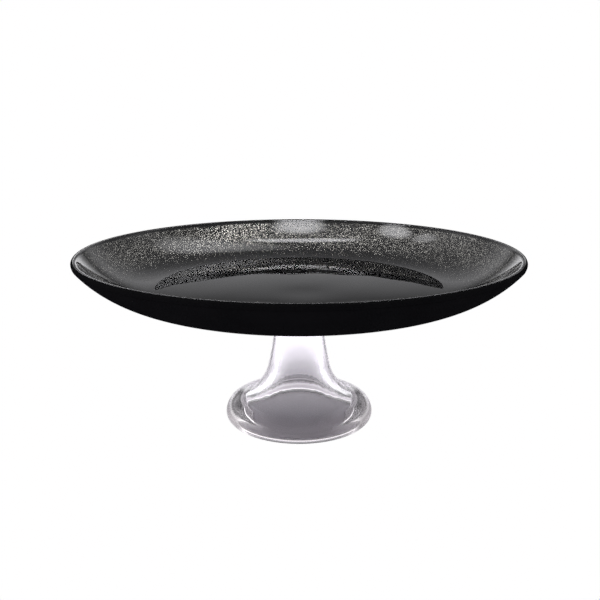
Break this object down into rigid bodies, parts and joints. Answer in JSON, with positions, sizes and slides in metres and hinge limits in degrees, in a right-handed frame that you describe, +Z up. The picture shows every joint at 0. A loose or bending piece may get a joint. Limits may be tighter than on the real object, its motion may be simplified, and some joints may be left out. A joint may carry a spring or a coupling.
{
  "type": "cake stand",
  "caption": "Footed cake stand: shallow round glass dish with a glitter rim over black lacquer, bonded onto a hollow, flared clear glass foot.",
  "frame": {"origin": "centre of the ring on which the foot stands, at table height", "axes": "+Z up along the axis of symmetry; +X and +Y are any two horizontal directions"},
  "size_m": [0.3006, 0.3006, 0.122],
  "materials": {
    "dish_glass": "polished clear glass",
    "glitter": "silver glitter flakes in clear lacquer",
    "lacquer": "matte black lacquer",
    "adhesive": "clear cured adhesive",
    "foot_glass": "fire-polished clear glass with a faint lilac cast"
  },
  "bodies": {
    "root": {"plate_glass": "dish_glass", "glitter_coat": "glitter", "black_lacquer": "lacquer", "bond_disc": "adhesive", "foot": "foot_glass"}
  },
  "joints": []
}
